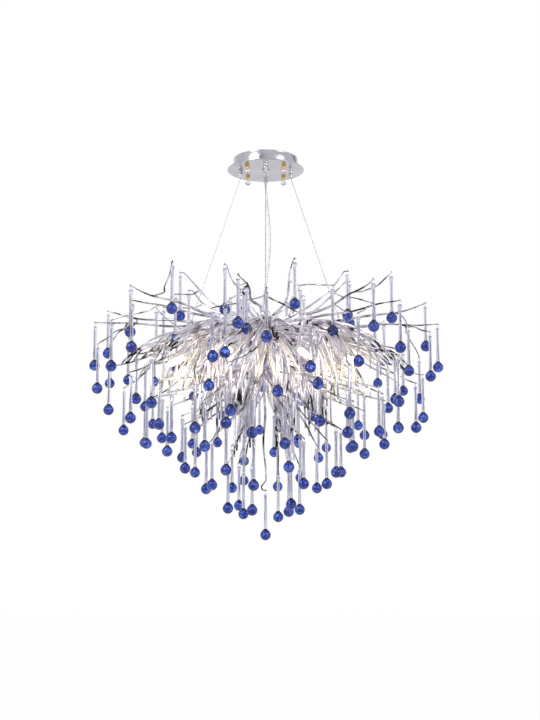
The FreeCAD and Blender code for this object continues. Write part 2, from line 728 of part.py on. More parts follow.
def drop(top, swings):
    """A glass drop hung at a point: clear stem, round end, and a wire ring if it swings there."""
    stem, ball, length = size("dropStem"), size("ballRadius"), size("dropLength")
    neck = -(length - size("ballHeight"))
    start = -size("twigTip") - size("seatGap")
    azimuth = math.degrees(math.atan2(top.y, top.x))
    outward = around(1, azimuth, 0)
    flat = flat_radius(size("hookRadius"), HOOK_SEGMENTS)
    ring_middle = size("twigTip") + size("seatGap") + size("hookWire") - flat
    if swings:
        start = ring_middle - flat
    profile = [(ball * 0.5, -length), (ball, neck - ball), (stem * 1.15, neck), (stem * 0.9, start)]
    glass = spindle(profile, DROP_SIDES, top, UP, outward)
    if not swings:
        return glass
    ring = wire_ring(top + UP * ring_middle, outward, size("hookRadius"), size("hookWire"),
                     HOOK_SEGMENTS)
    return glass.fuse(ring)


def make_twigs_and_drops(welds, centre_twig):
    twigs, still = {}, {}
    for tier in tiers():
        for index in range(tier.count):
            solid, places = twig(tier, index)
            twigs.setdefault(tier.family, []).append(without(solid, welds))
            for tip, end in places:
                hung = drop(around(*end), tip.swings(index))
                if tip.swings(index):
                    name = f"{tier.name}_drop_{index + 1}"
                    group(name, [hung])
                    HINGES[name] = (around(*end), around(1, end[1], 0))
                else:
                    still.setdefault(tier.family, []).append(hung)
    twigs["bottom"].append(centre_twig)
    for name, solids in twigs.items():
        group(name + "_twigs", solids)
    for name, solids in still.items():
        group(name + "_drops", solids)


def make_centre(welds):
    """Straight twig under the stem that ends in a cross peg for the lowest drop."""
    foot = FRAME_Z - size("hubHeight") / 2 - size("stemLength") + 1
    end = Vector(0, 0, FRAME_Z - size("centreDrop"))
    bend = Vector(-size("pegLength"), 0, end.z + size("pegLength"))
    points = [Vector(0, 0, foot), Vector(-3, 0, (foot + end.z) / 2), bend,
              end - Vector(size("pegLength") * 0.6, 0, 0), end + Vector(size("pegLength") * 0.3, 0, 0)]
    root, last = size("twigRoot") * 0.8, size("twigTip")
    solid = rod(points, [root, (root + last) / 2, last * 1.2, last, last], Vector(0, 1, 0), TWIG_SIDES)
    group("centre_drop", [drop(end, True)])
    HINGES["centre_drop"] = (end, Vector(1, 0, 0))
    return without(solid, welds)


# ---- Assembly -------------------------------------------------------------------------------------

make_ceiling_bracket()
make_studs_nuts_and_crystals()
make_drum()
make_disc()
make_cord_grip()
make_terminal_block()
make_power_cord()
cable_eyes = make_cables()
hub_solid = make_hub()
group("cord_gland", [cord_gland()])
arm_solids = frame_arms()
knot_solids = knots(arm_solids)
group("frame_arms", arm_solids)
group("arm_knots", knot_solids)
group("cable_eyes", [without(eye, arm_solids) for eye in cable_eyes])
stem_solids = make_stem()
make_lamps([hub_solid] + stem_solids)
make_twigs_and_drops([hub_solid] + stem_solids + arm_solids + knot_solids, make_centre(stem_solids))
doc.recompute()

faults = []
for item in doc.Objects:
    if "Invalid" in item.State or "Error" in item.State:
        faults.append(f"{item.Label}: {item.State}")
for name, piece in nodes.items():
    if piece.Shape.isNull() or not piece.Shape.isValid() or not piece.Shape.Solids:
        faults.append(f"{name}: no valid solid")
if faults:
    raise RuntimeError("; ".join(faults))

os.makedirs("parts", exist_ok=True)
for name, piece in nodes.items():
    piece.Label = name
    piece.Shape.exportStep(f"parts/{name}.step")
for name, (place, axis) in HINGES.items():
    print("hinge", name, [round(number, 4) for number in [*place, *axis]])
print(len(nodes), "nodes,", sum(len(piece.Shape.Solids) for piece in nodes.values()), "solids")
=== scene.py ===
import math
import random

import bmesh
import bpy
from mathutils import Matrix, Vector


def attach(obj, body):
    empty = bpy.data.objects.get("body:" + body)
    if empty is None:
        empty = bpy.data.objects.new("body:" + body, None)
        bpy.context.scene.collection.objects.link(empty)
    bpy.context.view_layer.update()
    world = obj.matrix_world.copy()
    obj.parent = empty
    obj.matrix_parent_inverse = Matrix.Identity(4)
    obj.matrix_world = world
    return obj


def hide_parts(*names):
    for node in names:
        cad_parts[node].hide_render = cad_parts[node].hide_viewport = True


# Looks of the branch chandelier. Lengths below are in millimetres and become metres when a mesh is made.

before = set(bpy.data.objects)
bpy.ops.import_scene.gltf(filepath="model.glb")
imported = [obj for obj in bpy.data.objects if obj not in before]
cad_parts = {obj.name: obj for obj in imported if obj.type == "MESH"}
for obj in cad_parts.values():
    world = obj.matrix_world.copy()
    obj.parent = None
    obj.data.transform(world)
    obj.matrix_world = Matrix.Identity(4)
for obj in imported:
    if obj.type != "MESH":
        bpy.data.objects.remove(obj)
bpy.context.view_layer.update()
scene = bpy.context.scene
MM = 0.001
UP = Vector((0, 0, 1))
BODY = "fixture"

DRUM_RADIUS, DRUM_HEIGHT, DRUM_WALL = 74, 25, 1.2
DISC_RADIUS, DISC_THICK = 88, 2
DISC_BOTTOM = -DRUM_HEIGHT - DISC_THICK
STUD_CIRCLE, NUT_RADIUS, NUT_HEIGHT, CRYSTAL_RADIUS = 59, 5.2, 10, 6.5
GRIPPER_CIRCLE, GRIPPER_RADIUS, GRIPPER_LENGTH = 58, 5, 16
CABLE_RADIUS, CORD_RADIUS = 0.75, 2.5
GRIP_FLANGE, GRIP_LENGTH = 9, 14
FRAME_Z = -390
HUB_RADIUS, HUB_HEIGHT = 24, 26
ARM_RADIUS, CABLE_REACH, KNOT_REACH, KNOT_RADIUS = 4, 168, 130, 13
EYE_RADIUS, EYE_WIRE, SEAT_GAP = 5, 1, 0.3
FERRULE_LENGTH, FERRULE_RADIUS = 13, 2.3
STEM_RADIUS, STEM_LENGTH = 8, 98
COLLAR_RADIUS, COLLAR_HEIGHT = 17, 14
LAMP_REACH, LAMP_DROP = 196, 86
HOLDER_RADIUS, HOLDER_LENGTH, LAMP_RADIUS, LAMP_LENGTH = 8, 22, 7, 40
TWIG_ROOT, TWIG_TIP, PEG_LENGTH = 4.2, 1.3, 9
DROP_LENGTH, BALL_RADIUS = 110, 11.8
LOOP_DROP, LOOP_SIZE, LOOP_WIRE = 4.1, (3.8, 6.5), 0.5
CENTRE_DROP = 372
SECTORS = 8
SECTOR = 360 / SECTORS
GLAND, LAST_BEND = (-8, 0, FRAME_Z + 26), (-4, 0, -324)

# Camera (focal length and height of the photo in pixels), floor and lamp light, in metres
FOCAL_LENGTH, PHOTO_HEIGHT = 1279, 720
CAMERA_PLACE, CAMERA_TILT = (0.010, -2.85, -0.9134), 8.86
FLOOR_LEVEL, FLOOR_SIZE, FLOOR_WHITE = -2.7, 40, 0.94
LAMP_COLOUR, LAMP_POWER = (1.0, 0.86, 0.68), 0.11

# Painted lamp light, where the branches are painted lighter as if lit by the lamps, in metres: depth of the
# middle, how flat it is, and where it fades
HEART_DEPTH, HEART_FLAT, HEART_FADE = 0.53, 1.3, (0.13, 0.28)
# Painted warm glow of the lamps: the tint, its largest share, and the distances in metres over which it fades
LAMP_GLOW_TINT, LAMP_GLOW_SHARE, LAMP_GLOW_FADE = (0.93, 0.87, 0.77, 1), 0.85, (0.02, 0.08)
# Painted shade at glass rims: the Layer Weight facing values over which the darker rim colour fades in
PAINTED_RIM_SHADE_FADE = (0.15, 0.62)

# Points along a twig, a fork and a shoot, and how far each of them strays from a plain curve
TWIG_POINTS, FORK_POINTS, SHOOT_POINTS, MERGE_POINTS = 22, 16, 18, 5
TWIG_WAVE, WIDE_WAVE, FORK_WAVE, CROWN_FORK_WAVE, SHOOT_WAVE = 3.6, 5.4, 2.4, -1.2, 5.0
REACH_STRAY, TURN_STRAY, HEIGHT_STRAY = 7, 1.5, 8
WIDE = ("crown", "upper")
STRANDED = ("shoulder", "middle", "lower", "bottom")
PATH_STEPS = 3


# ---- Camera and light -----------------------------------------------------------------------------

def make_camera():
    """Camera with the photo's place, tilt and angle of view."""
    data = bpy.data.cameras.new("camera")
    data.sensor_fit = "VERTICAL"
    data.sensor_height = 36
    data.lens = FOCAL_LENGTH / PHOTO_HEIGHT * data.sensor_height
    camera = bpy.data.objects.new("camera", data)
    camera.location = CAMERA_PLACE
    camera.rotation_euler = (math.radians(90 + CAMERA_TILT), 0, 0)
    scene.collection.objects.link(camera)
    scene.camera = camera


def add_node(tree, kind, **values):
    """A node with its plain properties set; a list or number given for in_NAME sets that input."""
    node = tree.nodes.new(kind)
    for name, value in values.items():
        if name.startswith("in_"):
            node.inputs[name[3:].replace("_", " ")].default_value = value
        else:
            setattr(node, name, value)
    return node


def ramp(tree, source, stops):
    """Colour that follows the source through (position, colour) stops."""
    node = tree.nodes.new("ShaderNodeValToRGB")
    while len(node.color_ramp.elements) < len(stops):
        node.color_ramp.elements.new(0.5)
    for element, (position, colour) in zip(node.color_ramp.elements, stops):
        element.position = position
        element.color = (*colour, 1)
    tree.links.new(source, node.inputs["Fac"])
    return node.outputs["Color"]


def larger(tree, first, second):
    """Output with the larger of two values."""
    node = add_node(tree, "ShaderNodeMath", operation="MAXIMUM")
    tree.links.new(first, node.inputs[0])
    tree.links.new(second, node.inputs[1])
    return node.outputs[0]


def faded(tree, source, span, values=(0.0, 1.0)):
    """Output that goes from the first value to the second while the source crosses the span."""
    node = add_node(tree, "ShaderNodeMapRange", in_From_Min=span[0], in_From_Max=span[1],
                    in_To_Min=values[0], in_To_Max=values[1])
    tree.links.new(source, node.inputs["Value"])
    return node.outputs[0]


def mixed(tree, share, first, second):
    """Output of a colour mix; second is a colour or the output of a node."""
    node = add_node(tree, "ShaderNodeMix", data_type="RGBA")
    tints = [socket for socket in node.inputs if socket.type == "RGBA"]
    tree.links.new(share, node.inputs[0])
    tree.links.new(first, tints[0])
    if isinstance(second, tuple):
        tints[1].default_value = second
    else:
        tree.links.new(second, tints[1])
    return next(socket for socket in node.outputs if socket.type == "RGBA")


def blended(tree, share, first, second):
    """Output of a shader that goes from the first to the second."""
    node = tree.nodes.new("ShaderNodeMixShader")
    for source, socket in zip((share, first.outputs[0], second.outputs[0]), node.inputs):
        tree.links.new(source, socket)
    return node


def make_world():
    """White studio: plain light for matt surfaces, and soft darker zones that metal and glass show."""
    world = bpy.data.worlds.new("studio")
    world.use_nodes = True
    tree = world.node_tree
    tree.nodes.clear()
    path = tree.nodes.new("ShaderNodeLightPath")
    place = tree.nodes.new("ShaderNodeTexCoord")
    noise = add_node(tree, "ShaderNodeTexNoise", in_Scale=2.1, in_Detail=1.5)
    tree.links.new(place.outputs["Generated"], noise.inputs["Vector"])
    patches = ramp(tree, noise.outputs["Fac"], [(0.37, (0.27, 0.25, 0.28)), (0.45, (0.94, 0.94, 0.95))])
    plain = add_node(tree, "ShaderNodeBackground", in_Color=(1, 1, 1, 1), in_Strength=0.8)
    shown = add_node(tree, "ShaderNodeBackground", in_Color=(1, 1, 1, 1), in_Strength=1)
    studio = add_node(tree, "ShaderNodeBackground", in_Strength=1)
    tree.links.new(patches, studio.inputs["Color"])
    either = larger(tree, path.outputs["Is Glossy Ray"], path.outputs["Is Transmission Ray"])
    unseen = blended(tree, either, plain, studio)
    every = blended(tree, path.outputs["Is Camera Ray"], unseen, shown)
    out = tree.nodes.new("ShaderNodeOutputWorld")
    tree.links.new(every.outputs[0], out.inputs["Surface"])
    scene.world = world


def make_lamps_of_studio():
    """Two large soft lights, one on each side of the camera."""
    for name, place, size, power in (("key", (-1.9, -2.2, 0.9), 1.6, 38),
                                     ("fill", (2.2, -1.6, 0.2), 1.8, 16)):
        data = bpy.data.lights.new(name, "AREA")
        data.shape = "DISK"
        data.size = size
        data.energy = power
        lamp = bpy.data.objects.new(name, data)
        lamp.location = place
        lamp.rotation_euler = (Vector((0, 0, -0.5)) - lamp.location).to_track_quat("-Z", "Y").to_euler()
        scene.collection.objects.link(lamp)


def make_lamp_glow():
    """Warm light of the lamps on the branches round them."""
    for sector in range(SECTORS):
        data = bpy.data.lights.new(f"glow_{sector + 1}", "POINT")
        data.color = LAMP_COLOUR
        data.shadow_soft_size = 0.03
        data.energy = LAMP_POWER
        lamp = bpy.data.objects.new(f"glow_{sector + 1}", data)
        lamp.location = polar(LAMP_REACH * 1.02, (sector + 0.5) * SECTOR,
                              FRAME_Z - LAMP_DROP - LAMP_LENGTH * 0.9) * MM
        scene.collection.objects.link(lamp)


def make_floor():
    """Pale floor that the camera sees as nearly white and that keeps the shadow."""
    mesh = bpy.data.meshes.new("floor")
    bm = bmesh.new()
    bmesh.ops.create_grid(bm, x_segments=8, y_segments=8, size=FLOOR_SIZE)
    bm.to_mesh(mesh)
    bm.free()
    floor = bpy.data.objects.new("floor", mesh)
    floor.location.z = FLOOR_LEVEL
    scene.collection.objects.link(floor)
    material = bpy.data.materials.new("pale_floor")
    material.use_nodes = True
    tree = material.node_tree
    matt = tree.nodes["Principled BSDF"]
    matt.inputs["Base Color"].default_value = (0.9, 0.9, 0.9, 1)
    matt.inputs["Roughness"].default_value = 0.9
    glow = add_node(tree, "ShaderNodeEmission", in_Color=(1, 1, 1, 1), in_Strength=1)
    path = tree.nodes.new("ShaderNodeLightPath")
    either = larger(tree, path.outputs["Is Glossy Ray"], path.outputs["Is Transmission Ray"])
    seen = larger(tree, either, path.outputs["Is Camera Ray"])
    share = add_node(tree, "ShaderNodeMath", operation="MULTIPLY")
    share.inputs[1].default_value = FLOOR_WHITE
    tree.links.new(seen, share.inputs[0])
    mix = blended(tree, share.outputs[0], matt, glow)
    tree.links.new(mix.outputs[0], tree.nodes["Material Output"].inputs["Surface"])
    mesh.materials.append(material)


# ---- Materials ------------------------------------------------------------------------------------

def painted_lamp_glow_ring(tree, place, colour):
    """The colour with a painted warm glow: a cream tint painted in the ring where the lamps are, standing in
    for their light on the branches.
    """
    parts = tree.nodes.new("ShaderNodeSeparateXYZ")
    tree.links.new(place.outputs["Object"], parts.inputs[0])
    level = tree.nodes.new("ShaderNodeCombineXYZ")
    tree.links.new(parts.outputs["X"], level.inputs["X"])
    tree.links.new(parts.outputs["Y"], level.inputs["Y"])
    reach = add_node(tree, "ShaderNodeVectorMath", operation="LENGTH")
    tree.links.new(level.outputs[0], reach.inputs[0])
    out = add_node(tree, "ShaderNodeMath", operation="SUBTRACT")
    tree.links.new(reach.outputs["Value"], out.inputs[0])
    out.inputs[1].default_value = LAMP_REACH * 1.04 * MM
    down = add_node(tree, "ShaderNodeMath", operation="SUBTRACT")
    tree.links.new(parts.outputs["Z"], down.inputs[0])
    down.inputs[1].default_value = (FRAME_Z - LAMP_DROP - LAMP_LENGTH * 0.4) * MM
    across = tree.nodes.new("ShaderNodeCombineXYZ")
    tree.links.new(out.outputs[0], across.inputs["X"])
    tree.links.new(down.outputs[0], across.inputs["Y"])
    near = add_node(tree, "ShaderNodeVectorMath", operation="LENGTH")
    tree.links.new(across.outputs[0], near.inputs[0])
    share = faded(tree, near.outputs["Value"], LAMP_GLOW_FADE, (LAMP_GLOW_SHARE, 0.0))
    return mixed(tree, share, colour, LAMP_GLOW_TINT)


def painted_lamp_light_inside(tree, place, outer, inner):
    """Painted lamp light: the inner, lighter colour near the middle of the branches, where the lamps light
    them, which blends into the outer colour away from it.
    """
    shift = tree.nodes.new("ShaderNodeMapping")
    shift.inputs["Location"].default_value = (0, 0, HEART_DEPTH)
    shift.inputs["Scale"].default_value = (1, 1, HEART_FLAT)
    tree.links.new(place.outputs["Object"], shift.inputs["Vector"])
    away = add_node(tree, "ShaderNodeVectorMath", operation="LENGTH")
    tree.links.new(shift.outputs[0], away.inputs[0])
    return mixed(tree, faded(tree, away.outputs["Value"], HEART_FADE), inner, outer)


def finish_of(name, colours, grain, roughness, bump=0.05, bump_grain=900, stretch=(1, 1, 1), rim=None,
              heart=None, **sockets):
    """A material whose colour, roughness and relief vary over the surface.

    colours holds (position, colour) stops, grain the number of spots per metre, roughness its lowest and
    highest value, and bump the strength of a fine relief with bump_grain spots per metre. rim is the
    painted shade of thick glass where one looks along its surface, a darker colour that stands in for the
    surroundings it refracts, and heart the stops used near the middle of the branches: painted lamp light,
    with a painted warm glow added round the lamps. The other values go to the shader's sockets of the same
    name.
    """
    material = bpy.data.materials.new(name)
    material.use_nodes = True
    tree = material.node_tree
    surface = tree.nodes["Principled BSDF"]
    for socket, value in sockets.items():
        surface.inputs[socket.replace("_", " ")].default_value = value
    place = tree.nodes.new("ShaderNodeTexCoord")
    turn = tree.nodes.new("ShaderNodeMapping")
    turn.inputs["Scale"].default_value = stretch
    tree.links.new(place.outputs["Object"], turn.inputs["Vector"])
    spots = add_node(tree, "ShaderNodeTexNoise", in_Scale=grain, in_Detail=3, in_Roughness=0.55)
    tree.links.new(turn.outputs[0], spots.inputs["Vector"])
    colour = ramp(tree, spots.outputs["Fac"], colours)
    if heart:
        # Painted lamp light: the lighter heart stops are painted near the middle of the branches
        colour = painted_lamp_light_inside(tree, place, colour, ramp(tree, spots.outputs["Fac"], heart))
        # Painted warm glow: a cream tint painted on the branches round the lamps
        colour = painted_lamp_glow_ring(tree, place, colour)
    # Painted shade: the rim colour is painted darker where one looks along the glass, standing in for the
    # dark surroundings it refracts
    if rim:
        edge = add_node(tree, "ShaderNodeLayerWeight", in_Blend=0.5)
        colour = mixed(tree, faded(tree, edge.outputs["Facing"], PAINTED_RIM_SHADE_FADE), colour, (*rim, 1))
    tree.links.new(colour, surface.inputs["Base Color"])
    wear = add_node(tree, "ShaderNodeTexNoise", in_Scale=grain * 2.3, in_Detail=2)
    tree.links.new(turn.outputs[0], wear.inputs["Vector"])
    tree.links.new(faded(tree, wear.outputs["Fac"], (0.3, 0.7), roughness), surface.inputs["Roughness"])
    fine = add_node(tree, "ShaderNodeTexNoise", in_Scale=bump_grain, in_Detail=2)
    tree.links.new(turn.outputs[0], fine.inputs["Vector"])
    relief = add_node(tree, "ShaderNodeBump", in_Strength=bump, in_Distance=0.0006)
    tree.links.new(fine.outputs["Fac"], relief.inputs["Height"])
    tree.links.new(relief.outputs[0], surface.inputs["Normal"])
    return material


def make_materials():
    """All finishes by name."""
    chrome = dict(Metallic=1.0)
    glass = dict(Transmission_Weight=1.0)
    return {
        # Twig chrome: the near-black streaks in its colour are a painted reflection of dark surroundings, and
        # its heart stops painted lamp light
        "twig": finish_of("twig_chrome", [(0.44, (0.006, 0.005, 0.007)), (0.48, (0.25, 0.25, 0.28)),
                                          (0.62, (0.56, 0.55, 0.61))], 34, (0.08, 0.26), 0.35, 260,
                          heart=[(0.36, (0.04, 0.03, 0.04)), (0.39, (0.68, 0.65, 0.73)),
                                 (0.60, (0.90, 0.87, 0.94))], **chrome),
        # Shoot chrome: its near-black streaks are a painted reflection of dark surroundings, and its heart
        # stops painted lamp light
        "shoot": finish_of("shoot_chrome", [(0.42, (0.006, 0.005, 0.007)), (0.44, (0.46, 0.45, 0.51)),
                                            (0.62, (0.74, 0.72, 0.80))], 26, (0.10, 0.20), 0.12, 120,
                           heart=[(0.36, (0.04, 0.03, 0.04)), (0.38, (0.80, 0.76, 0.84)),
                                  (0.60, (0.96, 0.93, 0.99))], Metallic=0.8),
        # Frame chrome: the near-black streaks in its colour are a painted reflection of dark surroundings
        "frame": finish_of("frame_chrome", [(0.36, (0.10, 0.07, 0.07)), (0.41, (0.78, 0.73, 0.78)),
                                            (0.60, (0.95, 0.92, 0.96))],
                           90, (0.10, 0.34), 0.5, 200, **chrome),
        "mirror": finish_of("mirror_steel", [(0.30, (0.42, 0.42, 0.46)), (0.70, (0.52, 0.52, 0.57))],
                            26, (0.14, 0.24), 0.06, 700, **chrome),
        "zinc": finish_of("zinc_steel", [(0.35, (0.48, 0.49, 0.52)), (0.65, (0.68, 0.69, 0.71))],
                          120, (0.28, 0.45), 0.12, 1500, **chrome),
        "brass": finish_of("brass", [(0.35, (0.52, 0.33, 0.10)), (0.62, (0.90, 0.68, 0.30))],
                           260, (0.10, 0.25), 0.1, 1800, **chrome),
        "crystal": finish_of("clear_crystal", [(0.3, (0.90, 0.91, 0.95)), (0.7, (0.99, 0.99, 1.0))],
                             200, (0.0, 0.03), 0.02, 900, IOR=1.55, **glass),
        "white": finish_of("white_plastic", [(0.3, (0.84, 0.84, 0.86)), (0.7, (0.93, 0.93, 0.93))],
                           300, (0.32, 0.45), 0.1, 2500),
        "gripper": finish_of("gripper_chrome", [(0.35, (0.36, 0.36, 0.40)), (0.55, (0.84, 0.84, 0.88))],
                             170, (0.08, 0.2), 0.08, 1500, **chrome),
        "cable": finish_of("steel_cable", [(0.35, (0.34, 0.34, 0.37)), (0.65, (0.60, 0.60, 0.63))],
                           900, (0.25, 0.4), 0.8, 1600, stretch=(1, 1, 0.45), **chrome),
        "cord": finish_of("clear_cord", [(0.3, (0.44, 0.44, 0.50)), (0.7, (0.62, 0.62, 0.69))],
                          240, (0.12, 0.22), 0.25, 700, stretch=(1, 1, 0.3), Metallic=0.35, Coat_Weight=0.8,
                          Coat_Roughness=0.08),
        "ceramic": finish_of("lampholder", [(0.3, (0.82, 0.79, 0.74)), (0.7, (0.93, 0.91, 0.87))],
                             150, (0.18, 0.3), 0.08, 900, Coat_Weight=0.5),
        "lit": finish_of("lamp_glass", [(0.3, (0.95, 0.90, 0.78)), (0.7, (1.0, 0.97, 0.90))],
                         200, (0.3, 0.4), 0.05, 1200, Emission_Color=(1.0, 0.86, 0.62, 1),
                         Emission_Strength=5.0),
        # Clear stem glass; its rim colour is a painted shade along the edges
        "clear": finish_of("clear_glass", [(0.3, (0.66, 0.68, 0.80)), (0.7, (0.80, 0.82, 0.91))],
                           90, (0.0, 0.05), 0.12, 160, rim=(0.56, 0.57, 0.70), IOR=1.47, **glass),
        # Blue glass: a tone that varies at random, whose lightest specks are painted highlights; its navy rim
        # colour is a painted shade
        "blue": finish_of("blue_glass", [(0.37, (0.003, 0.008, 0.15)), (0.50, (0.018, 0.055, 0.43)),
                                         (0.63, (0.16, 0.27, 0.88))], 230, (0.0, 0.04), 0.16, 200,
                          rim=(0.002, 0.008, 0.17), IOR=1.45, Specular_IOR_Level=0.12, **glass),
        # Near-black glass at the neck of each drop: a painted shade where the stem meets the ball
        "shoulder": finish_of("shoulder_glass", [(0.35, (0.0008, 0.0008, 0.004)),
                                                 (0.65, (0.006, 0.006, 0.04))],
                              150, (0.0, 0.04), 0.05, 180, IOR=1.45, Specular_IOR_Level=0.12, **glass),
        "wire": finish_of("hook_wire", [(0.35, (0.38, 0.38, 0.42)), (0.6, (0.80, 0.80, 0.84))],
                          300, (0.12, 0.25), 0.1, 1500, **chrome),
    }


# ---- Mesh helpers ---------------------------------------------------------------------------------

def polar(radius, azimuth, height):
    """Point at a distance from the middle axis, an azimuth in degrees and a height."""
    angle = math.radians(azimuth)
    return Vector((radius * math.cos(angle), radius * math.sin(angle), height))


def ring(bm, centre, first, second, radius, sides, square=0.0):
    """Vertices round a centre; square from 0 to 1 pushes the outline towards a rounded square."""
    found = []
    for i in range(sides):
        angle = 2 * math.pi * (i + 0.5) / sides
        c, s = math.cos(angle), math.sin(angle)
        grow = 1 + square * (1 / max(abs(c), abs(s)) - 1) * 0.8
        found.append(bm.verts.new((centre + (first * c + second * s) * radius * grow) * MM))
    return found


def join(bm, low, high, material):
    """Faces between two rings, or between a ring and a single point."""
    count = max(len(low), len(high))
    for i in range(count):
        j = (i + 1) % count
        if len(low) == 1:
            corners = (low[0], high[j], high[i])
        elif len(high) == 1:
            corners = (low[i], low[j], high[0])
        else:
            corners = (low[i], low[j], high[j], high[i])
        face = bm.faces.new(corners)
        face.material_index = material
        face.smooth = True


def skin(bm, rings, materials, closed=False):
    """Faces over a row of rings; materials is one number, or one for each pair of rings."""
    for i in range(len(rings) - 1):
        join(bm, rings[i], rings[i + 1], materials[i] if isinstance(materials, list) else materials)
    if closed:
        join(bm, rings[-1], rings[0], materials)


def directions(points, closed=False):
    """For each point of a line: its way, and two directions across that turn as little as they can."""
    ways = []
    count = len(points)
    for i in range(count):
        before = points[i - 1] if i or closed else points[0]
        after = points[(i + 1) % count] if i + 1 < count or closed else points[-1]
        ways.append((after - before).normalized())
    first = ways[0].orthogonal().normalized()
    found = []
    for way in ways:
        first = (first - way * first.dot(way)).normalized()
        found.append((way, first, way.cross(first)))
    return found


def sweep(bm, points, radii, sides=10, material=0, closed=False, cap=0.7):
    """A round rod along a line of points, with rounded ends unless it is closed."""
    ways = directions(points, closed)
    rings = [ring(bm, point, first, second, radius, sides)
             for point, (way, first, second), radius in zip(points, ways, radii)]
    if not closed:
        for end, sign in ((0, -1), (-1, 1)):
            way, first, second = ways[end]
            shoulder = ring(bm, points[end] + way * (sign * radii[end] * cap * 0.6), first, second,
                            radii[end] * 0.72, sides)
            pole = [bm.verts.new((points[end] + way * (sign * radii[end] * cap)) * MM)]
            rings = [pole, shoulder] + rings if end == 0 else rings + [shoulder, pole]
    skin(bm, rings, material, closed)


def turned(bm, foot, axis, profile, sides=24, material=0, square=None, side_way=None):
    """A turned form: profile holds (radius, distance along the axis), and a radius of 0 is a pole."""
    axis = axis.normalized()
    first = side_way or axis.orthogonal()
    first = (first - axis * first.dot(axis)).normalized()
    second = axis.cross(first)
    rings = []
    for i, (radius, distance) in enumerate(profile):
        centre = foot + axis * distance
        if radius == 0:
            rings.append([bm.verts.new(centre * MM)])
        else:
            rings.append(ring(bm, centre, first, second, radius, sides, square[i] if square else 0.0))
    skin(bm, rings, material)


def oval(bm, centre, across, tall, half_width, half_height, wire, material=0, steps=16, sides=8):
    """A closed wire loop in the plane of two directions."""
    points = [centre + across * (half_width * math.cos(2 * math.pi * i / steps))
              + tall * (half_height * math.sin(2 * math.pi * i / steps)) for i in range(steps)]
    sweep(bm, points, [wire] * steps, sides, material, closed=True)


def show(name, bm, materials, replaces=(), body=BODY, sharp=None):
    """The finished mesh as an object that rides on a body and stands for CAD nodes."""
    bmesh.ops.recalc_face_normals(bm, faces=bm.faces)
    mesh = bpy.data.meshes.new(name)
    bm.to_mesh(mesh)
    bm.free()
    for material in materials:
        mesh.materials.append(material)
    if sharp:
        mesh.set_sharp_from_angle(angle=math.radians(sharp))
    item = bpy.data.objects.new(name, mesh)
    scene.collection.objects.link(item)
    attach(item, body)
    if replaces:
        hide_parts(*replaces)


# ---- Cords ----------------------------------------------------------------------------------------

def cord(name, route, radius, material):
    """A smooth line through the pull of its route's points."""
    curve = bpy.data.curves.new(name, "CURVE")
    curve.dimensions = "3D"
    spline = curve.splines.new("NURBS")
    spline.points.add(len(route) - 1)
    for point, place in zip(spline.points, route):
        point.co = (*(Vector(place) * MM), 1)
    spline.order_u = 3
    spline.use_endpoint_u = True
    spline.resolution_u = 12
    curve.bevel_depth = radius * MM
    curve.bevel_resolution = 4
    curve.use_fill_caps = True
    curve.materials.append(material)
    item = bpy.data.objects.new(name, curve)
    scene.collection.objects.link(item)
    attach(item, BODY)
    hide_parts(name.replace("_line", ""))


def cable_place(azimuth):
    """Gripper mouth, eye centre, and the direction from the eye up the cable."""
    mouth = polar(GRIPPER_CIRCLE, azimuth, DISC_BOTTOM - GRIPPER_LENGTH)
    eye = polar(CABLE_REACH, azimuth, FRAME_Z + ARM_RADIUS * 0.8 + EYE_RADIUS)
    return mouth, eye, (mouth - eye).normalized()


def ferrule_foot(azimuth):
    """Centre of the cable's loop in the eye, and the foot of the crimped sleeve over it."""
    mouth, eye, up_cable = cable_place(azimuth)
    flat = EYE_RADIUS * math.cos(math.pi / 6)
    loop = eye + UP * (flat - 2 * EYE_WIRE - SEAT_GAP) + up_cable * flat
    return loop, loop + up_cable * (flat - EYE_WIRE)


def make_cords(looks):
    """The power cord in its gentle curve, and the four taut cables."""
    route = [(0, 0, DISC_BOTTOM - GRIP_LENGTH), (0, 0, -78), (6.5, 1, -127), (10.5, 1.5, -181),
             (8.5, 0.5, -234), (2.5, -0.5, -283), LAST_BEND, GLAND]
    cord("power_cord_line", route, CORD_RADIUS, looks["cord"])
    for quarter, name in enumerate(("cable_right", "cable_back", "cable_left", "cable_front")):
        mouth, eye, up_cable = cable_place(90 * quarter)
        loop, foot = ferrule_foot(90 * quarter)
        end = foot + up_cable * (FERRULE_LENGTH * 0.3)
        below = mouth - UP * 2
        near = below + (end - below).normalized() * 9
        cord(name + "_line", [mouth + UP * (GRIPPER_LENGTH * 0.6), below, near, end], CABLE_RADIUS,
             looks["cable"])


# ---- Canopy ---------------------------------------------------------------------------------------

def make_drum_and_disc(looks):
    """The drum with a groove under its upper edge, and the wide disc below it."""
    bm = bmesh.new()
    out, inner = DRUM_RADIUS, DRUM_RADIUS - DRUM_WALL
    turned(bm, Vector((0, 0, 0)), UP, [
        (inner, 0), (inner + 0.4, 0), (out - 0.4, 0), (out, -0.4), (out, -1.5), (out - 0.25, -2.2),
        (out - 0.25, -3.0), (out, -3.6), (out, -DRUM_HEIGHT * 0.6), (out, -DRUM_HEIGHT),
        (inner, -DRUM_HEIGHT), (inner, -DRUM_HEIGHT / 2), (inner, 0)], 128)
    show("canopy_drum_shell", bm, [looks["mirror"]], ["canopy_drum"], sharp=50)

    bm = bmesh.new()
    top, low, edge = -DRUM_HEIGHT, DISC_BOTTOM, DISC_RADIUS
    turned(bm, Vector((0, 0, 0)), UP, [
        (5.2, top), (edge * 0.5, top), (edge - 0.6, top), (edge - 0.15, top - 0.3), (edge, top - 1),
        (edge - 0.15, low + 0.3), (edge - 0.6, low), (edge - 6, low), (edge * 0.5, low), (5.2, low),
        (5.2, top)], 128)
    show("mirror_disc_plate", bm, [looks["mirror"]], ["mirror_disc"], sharp=50)


